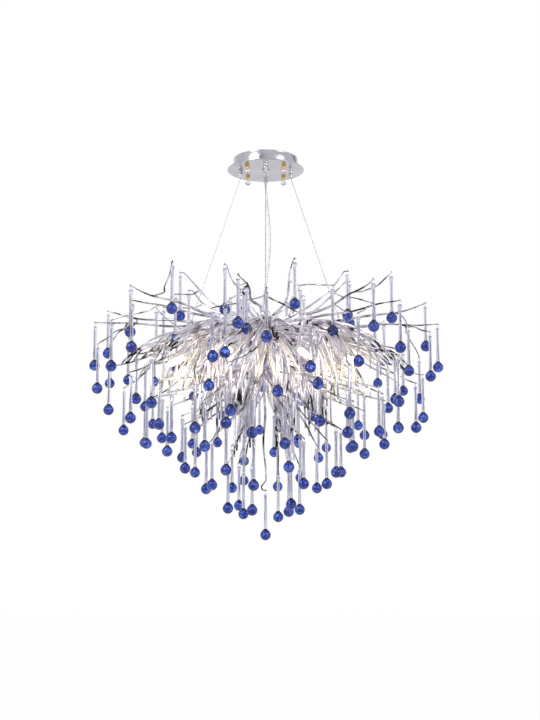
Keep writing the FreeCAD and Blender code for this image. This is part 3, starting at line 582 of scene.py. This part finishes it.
def make_nuts_and_crystals(looks):
    """Six-sided nuts with a domed end, and a faceted ball on each."""
    bm = bmesh.new()
    for quarter in range(4):
        foot = polar(STUD_CIRCLE, 45 + 90 * quarter, DISC_BOTTOM)
        corner, tall = NUT_RADIUS, NUT_HEIGHT
        turned(bm, foot, -UP, [(0, 0), (corner * 0.98, 0), (corner, 0.5), (corner, tall * 0.52),
                               (corner * 0.93, tall * 0.62)], 6)
        turned(bm, foot, -UP, [(corner * 0.80, tall * 0.56), (corner * 0.78, tall * 0.74),
                               (corner * 0.70, tall * 0.86), (corner * 0.52, tall * 0.95),
                               (corner * 0.3, tall), (0, tall)], 24)
    show("brass_cap_nuts", bm, [looks["brass"]], ["brass_nuts"], sharp=30)

    bm = bmesh.new()
    ball = CRYSTAL_RADIUS
    for quarter in range(4):
        foot = polar(STUD_CIRCLE, 45 + 90 * quarter, DISC_BOTTOM - NUT_HEIGHT)
        turned(bm, foot, -UP, [(0, 0), (ball * 0.36, 0), (ball * 0.42, ball * 0.06),
                               (ball * 0.80, ball * 0.30), (ball * 1.0, ball * 0.78),
                               (ball * 0.99, ball * 1.14), (ball * 0.76, ball * 1.58),
                               (ball * 0.34, ball * 1.88), (0, ball * 1.9)], 12)
    show("crystal_balls", bm, [looks["crystal"]], ["crystal_finials"], sharp=12)


def make_grippers_and_cord_grip(looks):
    """The grippers that hold the cables, and the ribbed sleeve that holds the cord."""
    bm = bmesh.new()
    body, length = GRIPPER_RADIUS, GRIPPER_LENGTH
    for quarter in range(4):
        mouth = polar(GRIPPER_CIRCLE, 90 * quarter, DISC_BOTTOM - GRIPPER_LENGTH)
        turned(bm, mouth, UP, [
            (1.0, 0.2), (1.6, 0), (2.2, 0.25), (2.3, 2.6), (2.5, 3.0), (body * 0.84, 3.2), (body * 0.96, 3.8),
            (body, 5.2), (body, length * 0.62), (body * 0.92, length * 0.66), (body * 0.92, length * 0.70),
            (body, length * 0.74), (body, length - 1.6), (body * 0.96, length - 0.8), (body * 0.96, length),
            (3, length), (3, length + 5), (2.6, length + 6.8), (0, length + 7)], 28)
    show("gripper_bodies", bm, [looks["gripper"]], ["cable_grippers"], sharp=40)

    bm = bmesh.new()
    neck, flange, length = CORD_RADIUS * 2, GRIP_FLANGE, GRIP_LENGTH
    profile = [(2.6, -length + 0.1), (3.4, -length), (flange * 0.48, -length + 0.5)]
    for turn in range(5):
        z = -length + 1.6 + turn * 1.5
        wide = flange * (0.50 + 0.05 * turn)
        profile += [(wide, z), (wide, z + 0.7), (wide * 0.9, z + 0.9), (wide * 0.9, z + 1.3)]
    profile += [(flange * 0.78, -length * 0.36), (flange * 0.82, -length * 0.22),
                (flange * 0.97, -length * 0.2), (flange, -length * 0.15), (flange, -0.3), (flange * 0.97, 0),
                (neck, 0), (neck, 8), (neck * 0.6, 8.0), (0, 8.0)]
    turned(bm, UP * DISC_BOTTOM, UP, profile, 40)
    show("cord_grip_sleeve", bm, [looks["white"]], ["cord_grip"], sharp=35)


def make_canopy(looks):
    """The canopy's pieces; those inside it keep their own form and get a finish."""
    make_drum_and_disc(looks)
    make_nuts_and_crystals(looks)
    make_grippers_and_cord_grip(looks)
    for node, look in (("ceiling_bracket", "zinc"), ("canopy_studs", "zinc"), ("terminal_block", "white")):
        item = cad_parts[node]
        item.data.materials.clear()
        item.data.materials.append(looks[look])


# ---- Frame ----------------------------------------------------------------------------------------

def lumpy(bm, amount, grain, seed, start=0):
    """Pushes the vertices from number start on in and out by a smooth irregular relief."""
    rng = random.Random(seed)
    waves = [(Vector((rng.uniform(-1, 1), rng.uniform(-1, 1), rng.uniform(-1, 1))).normalized() * grain
              * rng.uniform(0.6, 1.7), rng.uniform(0, 6.3)) for _ in range(7)]
    bm.normal_update()
    bm.verts.ensure_lookup_table()
    shifts = []
    for vertex in bm.verts[start:]:
        place = vertex.co / MM
        rise = sum(math.sin(wave.dot(place) + phase) for wave, phase in waves) / len(waves)
        shifts.append((vertex, vertex.normal * (rise * amount * MM)))
    for vertex, shift in shifts:
        vertex.co += shift


def make_hub_and_gland(looks):
    """The lumpy hub, and the sleeve on it that the cord runs into."""
    bm = bmesh.new()
    radius, half = HUB_RADIUS, HUB_HEIGHT / 2
    centre = UP * FRAME_Z
    profile = [(0, half), (radius * 0.45, half), (radius * 0.80, half * 0.96), (radius * 0.90, half * 0.80),
               (radius * 0.98, half * 0.55), (radius * 0.98, half * 0.2), (radius * 0.98, -half * 0.15),
               (radius * 0.96, -half * 0.45), (radius * 0.84, -half * 0.72), (radius * 0.62, -half * 0.95),
               (radius * 0.3, -half), (0, -half)]
    turned(bm, centre, UP, profile, 40)
    lumpy(bm, 1.4, 0.42, "hub")
    show("hub_casting", bm, [looks["frame"]], ["hub"])

    bm = bmesh.new()
    end, before = Vector(GLAND), Vector(LAST_BEND)
    along = (before - end).normalized()
    cable = CORD_RADIUS
    turned(bm, end, along, [(0, -15), (cable * 2.3, -15), (cable * 2.4, -14), (cable * 2.4, -9),
                            (cable * 2.3, -8.4), (cable * 2.1, -8), (cable * 2.1, -7.2), (cable * 2.2, -6.8),
                            (cable * 1.9, -4), (cable * 1.5, -1), (cable * 1.35, 0), (cable * 1.02, 0.0),
                            (cable * 0.9, -1)], 28)
    show("gland_sleeve", bm, [looks["frame"]], ["cord_gland"], sharp=40)


def make_arms_and_knots(looks):
    """Uneven rods from the hub, every other one out to a cable, and the knots on them."""
    bm = bmesh.new()
    for sector in range(SECTORS):
        azimuth = sector * SECTOR
        reach = CABLE_REACH + EYE_RADIUS if sector % 2 == 0 else KNOT_REACH
        rng = random.Random(f"arm {sector}")
        count = 22
        start, stop = HUB_RADIUS * 0.9, reach - 1.5
        points = [polar(start + (stop - start) * i / count, azimuth, FRAME_Z) for i in range(count + 1)]
        radii = [ARM_RADIUS * (0.92 - 0.16 * i / count) * (1 + rng.uniform(-0.05, 0.05))
                 for i in range(count + 1)]
        sweep(bm, points, radii, 14)
    show("frame_arm_rods", bm, [looks["frame"]], ["frame_arms"])

    bm = bmesh.new()
    ball = KNOT_RADIUS
    for sector in range(SECTORS):
        centre = polar(KNOT_REACH, sector * SECTOR, FRAME_Z)
        start = len(bm.verts)
        profile = [(0, -ball * 0.9), (ball * 0.35, -ball * 0.88), (ball * 0.62, -ball * 0.72),
                   (ball * 0.80, -ball * 0.42), (ball * 0.88, -ball * 0.1), (ball * 0.86, ball * 0.2),
                   (ball * 0.72, ball * 0.55), (ball * 0.50, ball * 0.80), (ball * 0.28, ball * 0.89),
                   (0, ball * 0.9)]
        turned(bm, centre, UP, profile, 24)
        lumpy(bm, 1.5, 0.65, f"knot {sector}", start)
    show("knot_castings", bm, [looks["frame"]], ["arm_knots"])


def make_stem_and_collars(looks):
    """The rod below the hub, and the two collars that carry the lower branches."""
    bm = bmesh.new()
    bottom = FRAME_Z - HUB_HEIGHT / 2
    wide = STEM_RADIUS * 0.96
    turned(bm, Vector((0, 0, bottom)), UP, [(0, -STEM_LENGTH), (STEM_RADIUS * 0.7, -STEM_LENGTH),
                                            (wide, -STEM_LENGTH + 2), (wide, -40), (wide, 0), (0, 0)], 28)
    show("stem_rod", bm, [looks["frame"]], ["hub_stem"], sharp=50)

    bm = bmesh.new()
    wide, tall = COLLAR_RADIUS, COLLAR_HEIGHT
    for level in (bottom - STEM_LENGTH * 0.5, bottom - STEM_LENGTH + tall):
        start = len(bm.verts)
        turned(bm, Vector((0, 0, level)), UP, [
            (STEM_RADIUS * 0.9, 0), (wide * 0.70, 0), (wide * 0.84, -tall * 0.1), (wide * 0.94, -tall * 0.35),
            (wide * 0.94, -tall * 0.62), (wide * 0.86, -tall * 0.86), (wide * 0.74, -tall),
            (STEM_RADIUS * 0.9, -tall)], 32)
        lumpy(bm, 0.9, 0.6, f"collar {level}", start)
    show("collar_castings", bm, [looks["frame"]], ["stem_collars"])


def make_frame(looks):
    """The frame that carries the branches, from the hub outwards and down."""
    make_hub_and_gland(looks)
    make_arms_and_knots(looks)
    make_stem_and_collars(looks)


def make_rigging(looks):
    """Eyes on the arms, and the cables' crimped loops in them."""
    eyes, loops = bmesh.new(), bmesh.new()
    for quarter in range(4):
        azimuth = 90 * quarter
        mouth, eye, up_cable = cable_place(azimuth)
        outward, across = polar(1, azimuth, 0), polar(1, azimuth + 90, 0)
        ring_radius = EYE_RADIUS * 0.94
        oval(eyes, eye, outward, UP, ring_radius, ring_radius, EYE_WIRE * 0.9, steps=32, sides=12)
        turned(eyes, eye - UP * (ring_radius + 0.2), UP,
               [(0, -1.2), (2.0, -1.2), (1.7, 0), (1.1, 0.8), (0, 0.8)], 16)
        loop, foot = ferrule_foot(azimuth)
        oval(loops, loop, across, up_cable, ring_radius, ring_radius, EYE_WIRE * 0.75, steps=32, sides=12)
        size = FERRULE_RADIUS
        turned(loops, foot, up_cable, [
            (0, -0.4), (size * 0.6, -0.4), (size * 0.9, 0), (size, 0.6), (size, 3), (size * 0.82, 3.6),
            (size * 0.82, 4.6), (size, 5.2), (size, 7.6), (size * 0.82, 8.2), (size * 0.82, 9.2), (size, 9.8),
            (size, FERRULE_LENGTH - 0.8), (size * 0.8, FERRULE_LENGTH), (CABLE_RADIUS, FERRULE_LENGTH)], 20,
            side_way=across)
    show("eye_rings", eyes, [looks["frame"]], ["cable_eyes"])
    show("crimped_loops", loops, [looks["gripper"]], ["cable_ferrules"], sharp=40)


def make_lights(looks):
    """Arms, ceramic holders and frosted lamps between the branches."""
    arms, holders, lamps = bmesh.new(), bmesh.new(), bmesh.new()
    for sector in range(SECTORS):
        azimuth = (sector + 0.5) * SECTOR
        mouth = polar(LAMP_REACH, azimuth, FRAME_Z - LAMP_DROP)
        root = polar(HUB_RADIUS * 0.8, azimuth, FRAME_Z - HUB_HEIGHT * 0.2)
        elbow = polar(LAMP_REACH * 0.45, azimuth, FRAME_Z - LAMP_DROP * 0.35)
        along = (mouth - elbow).normalized()
        back = mouth - along * HOLDER_LENGTH
        points = []
        for step in range(25):
            t = step / 24
            point = root.lerp(elbow, t * 2) if t < 0.5 else elbow.lerp(back, t * 2 - 1)
            if 0.35 < t < 0.65:
                blend = (t - 0.35) / 0.3
                blend = blend * blend * (3 - 2 * blend)
                soft = root.lerp(elbow, 0.7).lerp(elbow.lerp(back, 0.3), blend)
                point = point.lerp(soft, 0.5)
            points.append(point)
        sweep(arms, points, [ARM_RADIUS * 0.72] * len(points), 12)
        wide, length = HOLDER_RADIUS, HOLDER_LENGTH
        turned(holders, back, along, [
            (0, -1), (ARM_RADIUS * 0.9, -1), (ARM_RADIUS * 1.05, 0.5), (wide * 0.7, 3), (wide * 0.92, 6.5),
            (wide * 0.92, 9), (wide * 0.86, 9.6), (wide * 0.86, 10.4), (wide * 0.92, 11),
            (wide * 0.92, length - 1), (wide * 0.86, length), (wide * 0.7, length),
            (wide * 0.66, length - 3), (0, length - 3)], 24)
        glass, tall = LAMP_RADIUS, LAMP_LENGTH
        turned(lamps, mouth, along, [
            (0, -2), (glass * 0.66, -2), (glass * 0.66, 2), (glass * 0.88, 5), (glass * 0.94, 9),
            (glass * 0.94, tall * 0.72), (glass * 0.88, tall * 0.84), (glass * 0.66, tall * 0.93),
            (glass * 0.36, tall * 0.98), (0, tall)], 24)
    show("lamp_arm_rods", arms, [looks["frame"]], ["lamp_arms"])
    show("ceramic_holders", holders, [looks["ceramic"]], ["lampholders"], sharp=40)
    show("frosted_lamps", lamps, [looks["lit"]], ["lamps"])


# ---- Twigs and drops ------------------------------------------------------------------------------

def spread(name, amount):
    """A number between -amount and amount that depends on the name alone."""
    return random.Random(name).uniform(-amount, amount)


def tiers():
    """Name, node family, count, first azimuth, root (distance, height, turn), bend, share of the root's
    thickness, number of the path's point where forks leave, and tips (turn, distance, height, every, first,
    swings every)."""
    hub, knot, collar = HUB_RADIUS * 0.5, KNOT_REACH, COLLAR_RADIUS * 0.5
    high = -HUB_HEIGHT / 2 - STEM_LENGTH * 0.5 - COLLAR_HEIGHT / 2
    low = -HUB_HEIGHT / 2 - STEM_LENGTH + COLLAR_HEIGHT / 2
    crown, rise, upper, lift, rim, shoulder, sink = 202, 108, 366, 42, 390, 352, -104
    inner, sunk, middle, middle_drop, lower, lower_drop = 300, -80, 262, 172, 178, 234
    bottom, bottom_drop = 100, 310
    return [
        ("crown", "crown", 8, SECTOR / 2, (hub, 2, 0), (0.62, 0.20), 1.0, 2,
         [(-5, crown, rise, 1, 0, 1), (14, crown + 40, rise - 64, 1, 0, 0)]),
        ("heart", "crown", 4, SECTOR * 1.25, (hub * 1.5, 6, 0), (0.35, 0.25), 0.8, 1,
         [(0, crown * 0.46, rise - 30, 1, 0, 0)]),
        ("upper", "upper", 8, 0, (knot, 7, -3.5), (0.55, 0.10), 1.0, 2,
         [(-7, upper, lift, 1, 0, 0), (-15, upper - 44, lift - 62, 2, 0, 0),
          (9, upper - 36, lift + 44, 2, 1, 0)]),
        ("rim", "rim", 8, 0, (knot, -2, 0), (0.5, 0.35), 0.85, 2,
         [(0, rim, 0, 1, 0, 1), (-15, rim - 18, -28, 1, 0, 0), (15, rim - 14, -58, 2, 0, 0)]),
        ("shoulder", "shoulder", 8, 0, (knot, -7, 2), (0.45, 0.65), 1.0, 1,
         [(4, shoulder, sink, 1, 0, 2), (-13, shoulder - 18, sink - 34, 1, 0, 0),
          (17, shoulder - 30, sink - 54, 2, 1, 0), (21.5, inner, sunk, 1, 0, 0)]),
        ("middle", "middle", 8, 0, (collar, high, 0), (0.42, 0.62), 1.0, 1,
         [(-5, middle, -middle_drop, 1, 0, 0), (12, middle - 38, -middle_drop - 16, 1, 0, 0),
          (27.5, inner - 44, sunk - 64, 1, 0, 0)]),
        ("lower", "lower", 8, SECTOR / 2, (collar, low + 3, 0), (0.45, 0.60), 1.0, 1,
         [(-6, lower, -lower_drop, 1, 0, 0), (12, lower - 42, -lower_drop - 32, 1, 0, 0)]),
        ("bottom", "bottom", 4, SECTOR, (collar, low - 5, 0), (0.35, 0.40), 0.8, 1,
         [(-8, bottom, -bottom_drop, 1, 0, 0), (14, bottom - 42, -bottom_drop - 14, 1, 0, 0)]),
    ]


def bow(root, bend, tip, along):
    """Point of a twig's curve in distance, azimuth and height."""
    (r0, a0, z0), (r2, a2, z2) = root, tip
    r2 -= PEG_LENGTH
    r1, z1 = r0 + (r2 - r0) * bend[0], z0 + (z2 - z0) * bend[1]
    back = 1 - along
    return (back * back * r0 + 2 * back * along * r1 + along * along * r2, a0 + (a2 - a0) * along,
            back * back * z0 + 2 * back * along * z1 + along * along * z2)


def wavy(root, bend, tip, key, steps, wave, level=True):
    """A smooth uneven line along a twig's curve. It ends in a short level peg, or runs on past the tip."""
    if not level:
        tip = (tip[0] + PEG_LENGTH, tip[1], tip[2])
    rng = random.Random("wave " + key)
    phase, turn, beat = rng.uniform(0, 6.28), rng.uniform(0, 6.28), rng.uniform(1.2, 1.9)
    line = [polar(*bow(root, bend, tip, i / steps)) for i in range(steps + 1)]
    ways = directions(line)
    found = []
    for i, point in enumerate(line):
        t = i / steps
        room = math.sin(math.pi * t) ** 0.8
        way = ways[i][0]
        side = way.cross(UP).normalized()
        rise = side.cross(way)
        found.append(point + side * (wave * room * math.sin(beat * 6.28 * t + phase))
                     + rise * (wave * 0.8 * room * math.sin(beat * 5.1 * t + turn)))
    if not level:
        return found + [found[-1] + (found[-1] - found[-2]).normalized() * (PEG_LENGTH * 0.35)]
    outer = polar(tip[0] + PEG_LENGTH * 0.3, tip[1], tip[2])
    inner = found.pop()
    return found[:-1] + [found[-1].lerp(inner, 0.45), inner.lerp(outer, 0.10), inner.lerp(outer, 0.5), outer]


def forked(trunk, leaves, line):
    """The line of a fork, led smoothly out of the trunk a little before the point where it leaves."""
    count = TWIG_POINTS
    place = round(count * leaves)
    found = []
    for i, point in enumerate(line):
        if i >= MERGE_POINTS:
            found.append(point)
            continue
        share = i / MERGE_POINTS
        share = share * share * (3 - 2 * share)
        along = trunk[min(place + i, count)]
        found.append(along.lerp(point, share))
    return [trunk[max(place - 1, 0)]] + found


def branch(bm, line, thick, thin, key, material=0):
    """An uneven tapered rod with a few knobs on it."""
    rng = random.Random("bark " + key)
    knobs = [rng.uniform(0.1, 0.85) for _ in range(3)]
    count = len(line) - 1
    radii = []
    for i in range(count + 1):
        t = i / count
        radius = thick + (thin - thick) * min(1, t / 0.92) ** 0.85
        swell = sum(math.exp(-((t - knob) / 0.035) ** 2) for knob in knobs)
        radii.append(radius * (1 + 0.13 * swell + rng.uniform(-0.04, 0.04)))
    sweep(bm, line, radii, 10, material)


def drop(bm, tip, azimuth):
    """Wire loop over the peg, clear stem with a squarish head, and the round blue end."""
    across = polar(1, azimuth + 90, 0)
    oval(bm, tip - UP * LOOP_DROP, across, UP, *LOOP_SIZE, LOOP_WIRE, material=2, steps=20, sides=6)
    ball, length = BALL_RADIUS, DROP_LENGTH
    centre = -(length - ball)
    profile = [(0, -8.2, 0), (2.2, -8.3, 1), (3.4, -8.9, 1), (3.8, -10.0, 1), (3.8, -12.2, 0.9),
               (3.5, -14.5, 0.5), (3.2, -20, 0.15), (3.1, -34, 0), (3.15, -50, 0), (3.3, -62, 0),
               (3.5, -72, 0)]
    neck = [(3.7, centre + ball + 4.0), (3.9, centre + ball + 1.6), (4.6, centre + ball * 0.99),
            (6.3, centre + ball * 0.90)]
    profile += [(radius, z, 0) for radius, z in neck]
    clear_faces = len(profile) - 3
    for degrees in (48, 35, 20, 5, -10, -25, -40, -55, -70, -82):
        angle = math.radians(degrees)
        radius = ball * math.cos(angle)
        profile.append((radius, centre + ball * math.sin(angle), 0))
    profile.append((0, -length, 0))
    # Material 3, on the faces round the neck, is the near-black glass of a painted shade
    faces = [0 if i < clear_faces else 3 if i < clear_faces + 4 else 1 for i in range(len(profile) - 1)]
    turned(bm, tip, UP, [(radius, z) for radius, z, square in profile], 20, faces,
           [square for radius, z, square in profile], across)


def add_strands(bm, main, index, key, few=False):
    """Thinner shoots that run from the hub, or from the nearest knot, into a twig."""
    reach, azimuth = main[2][0], main[2][1]
    steps = azimuth / SECTOR
    knot = SECTOR * (round(steps) if abs(steps - round(steps)) < 0.3 else math.floor(steps) + index % 2)
    from_hub = [(HUB_RADIUS * 0.8, azimuth + turn, FRAME_Z - 11, (0.80, 0.16), leaves)
                for turn, leaves in ((9, 0.55), (-9, 0.72), (16, 0.88), (-16, 0.94), (24, 0.80))]
    from_knot = [(KNOT_REACH * share, knot + turn, FRAME_Z - 8, (0.78, 0.14), leaves)
                 for share, turn, leaves in ((1.0, 3, 0.64), (0.97, -4, 0.80), (0.95, 0, 0.93),
                                             (0.93, 6, 0.86), (0.98, 9, 0.55))]
    sources = from_hub if reach < KNOT_REACH else from_knot + from_hub[:3]
    if few:
        sources = sources[:2]
    for number, (radius, turn, height, bend, leaves) in enumerate(sources):
        r, a, z = bow(*main, leaves)
        if r < radius * 0.7:
            continue
        name = f"{key} strand {number}"
        line = wavy((radius, turn, height), bend, (r, a, z), name, SHOOT_POINTS, SHOOT_WAVE, False)[:-1]
        branch(bm, line, TWIG_ROOT * 0.92, TWIG_TIP * 1.6, name, 1)


def grow(looks):
    """All twigs of the tiers with their drops, each family in the place of its CAD nodes."""
    twigs, still = {}, {}
    # The fourth material is the near-black neck glass, a painted shade
    glass = [looks["clear"], looks["blue"], looks["wire"], looks["shoulder"]]
    for name, family, count, first, root, bend, share, leaves, tips in tiers():
        for index in range(count):
            azimuth = first + index * 360 / count
            start = (root[0], azimuth + root[2], FRAME_Z + root[1])
            main = None
            for number, (turn, reach, rise, every, offset, swing) in enumerate(tips):
                if index % every != offset:
                    continue
                key = f"{name} {index} {number}"
                end = (reach + spread(key + " reach", REACH_STRAY),
                       azimuth + turn + spread(key + " turn", TURN_STRAY),
                       FRAME_Z + rise + spread(key + " rise", HEIGHT_STRAY))
                bm = twigs.setdefault(family, bmesh.new())
                thick = TWIG_ROOT * share * 0.95
                swings = swing and index % swing == 0
                if main is None:
                    main = (start, bend, end)
                    wave = WIDE_WAVE if family in WIDE else TWIG_WAVE
                    line = trunk = wavy(start, bend, end, key, TWIG_POINTS, wave, swings)
                    if name in STRANDED:
                        add_strands(bm, main, index, key)
                else:
                    share_out = leaves / PATH_STEPS
                    root_of_fork = bow(*main, share_out)
                    if name in STRANDED:
                        add_strands(bm, (root_of_fork, bend, end), index, key, True)
                    wave = CROWN_FORK_WAVE if name == "crown" else FORK_WAVE
                    line = wavy(root_of_fork, bend, end, key, FORK_POINTS, wave, False)
                    line = forked(trunk, share_out, line)
                    thick = (thick + (TWIG_TIP - thick) * leaves / PATH_STEPS) * 0.9
                branch(bm, line, thick, TWIG_TIP, key)
                place = polar(*end)
                if swings:
                    body = f"{name}_drop_{index + 1}"
                    one = bmesh.new()
                    drop(one, place, end[1])
                    show(body + "_glass", one, glass, [body], body)
                else:
                    drop(still.setdefault(family, bmesh.new()), place, end[1])
    add_centre(twigs["bottom"], glass)
    for family, bm in twigs.items():
        show(family + "_branches", bm, [looks["twig"], looks["shoot"]], [family + "_twigs"])
    for family, bm in still.items():
        show(family + "_glass", bm, glass, [family + "_drops"])


def add_centre(bm, glass):
    """The twig that runs straight down from the stem and ends in a hook, with its drop."""
    end = Vector((0, 0, FRAME_Z - CENTRE_DROP))
    foot = FRAME_Z - HUB_HEIGHT / 2 - STEM_LENGTH + 4
    tall = foot - end.z
    line = [Vector((-3 * math.sin(math.pi * i / 20) - 2.2 * math.sin(i * 0.62), 1.8 * math.sin(i * 0.5),
                    foot - (tall - PEG_LENGTH) * i / 20)) for i in range(20)]
    line += [Vector((-PEG_LENGTH, 0, end.z + PEG_LENGTH)), Vector((-PEG_LENGTH * 0.9, 0, end.z + 3)),
             Vector((-PEG_LENGTH * 0.6, 0, end.z + 0.4)), end, end + Vector((PEG_LENGTH * 0.3, 0, 0))]
    branch(bm, line, TWIG_ROOT * 0.8, TWIG_TIP, "centre")
    one = bmesh.new()
    drop(one, end, 0)
    show("centre_drop_glass", one, glass, ["centre_drop"], "centre_drop")


# ---- Assembly -------------------------------------------------------------------------------------

scene.view_settings.view_transform = "Standard"
make_camera()
looks = make_materials()
make_cords(looks)
make_world()
make_lamps_of_studio()
make_lamp_glow()
make_floor()
make_canopy(looks)
make_frame(looks)
make_rigging(looks)
make_lights(looks)
grow(looks)
